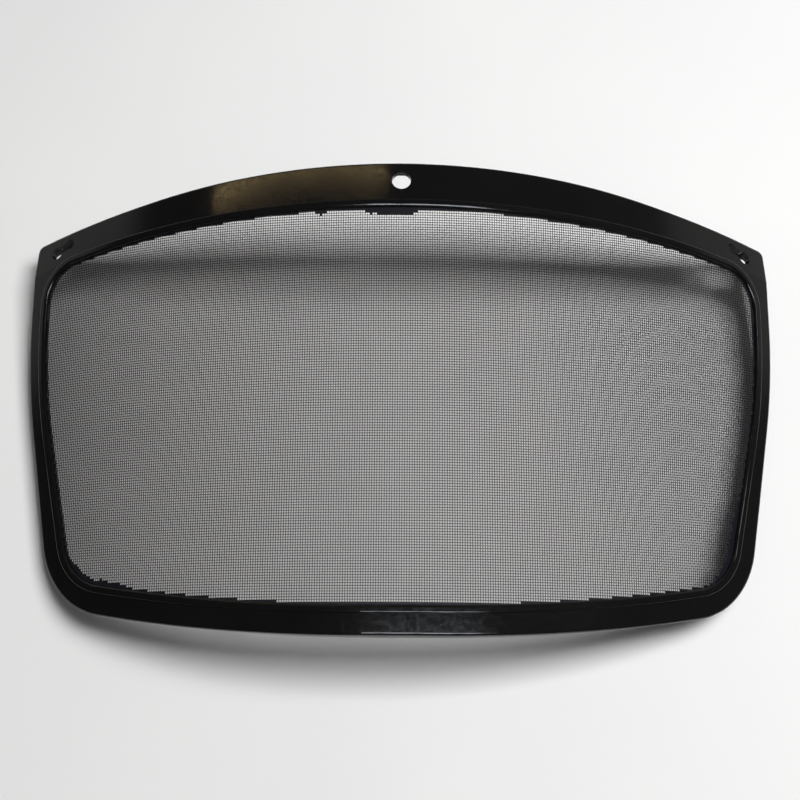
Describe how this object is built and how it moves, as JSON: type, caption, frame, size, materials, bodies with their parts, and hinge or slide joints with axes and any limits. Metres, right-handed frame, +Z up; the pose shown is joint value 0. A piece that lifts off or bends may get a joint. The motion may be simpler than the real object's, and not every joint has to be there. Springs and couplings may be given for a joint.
{
  "type": "mesh face screen",
  "caption": "Curved wire-mesh face screen in a moulded plastic rim, with a brow flange that has a centre hole and corner keyholes for fixing it to a helmet.",
  "frame": {"origin": "on the table surface under the middle of the screen as it lies on the lip round the back of its rim, the centre of the box's bottom face", "axes": "+Z up, away from the table and out of the convex outside of the screen; +Y towards the brow flange; X across the face, from one keyhole to the other"},
  "size_m": [0.3462, 0.2084, 0.0702],
  "materials": {
    "frame_plastic": "glossy black moulded plastic",
    "mesh_wire": "dark grey coated steel wire, satin"
  },
  "bodies": {
    "root": {"visor_frame": "frame_plastic", "warp_wires": "mesh_wire", "weft_wires": "mesh_wire"}
  },
  "joints": []
}
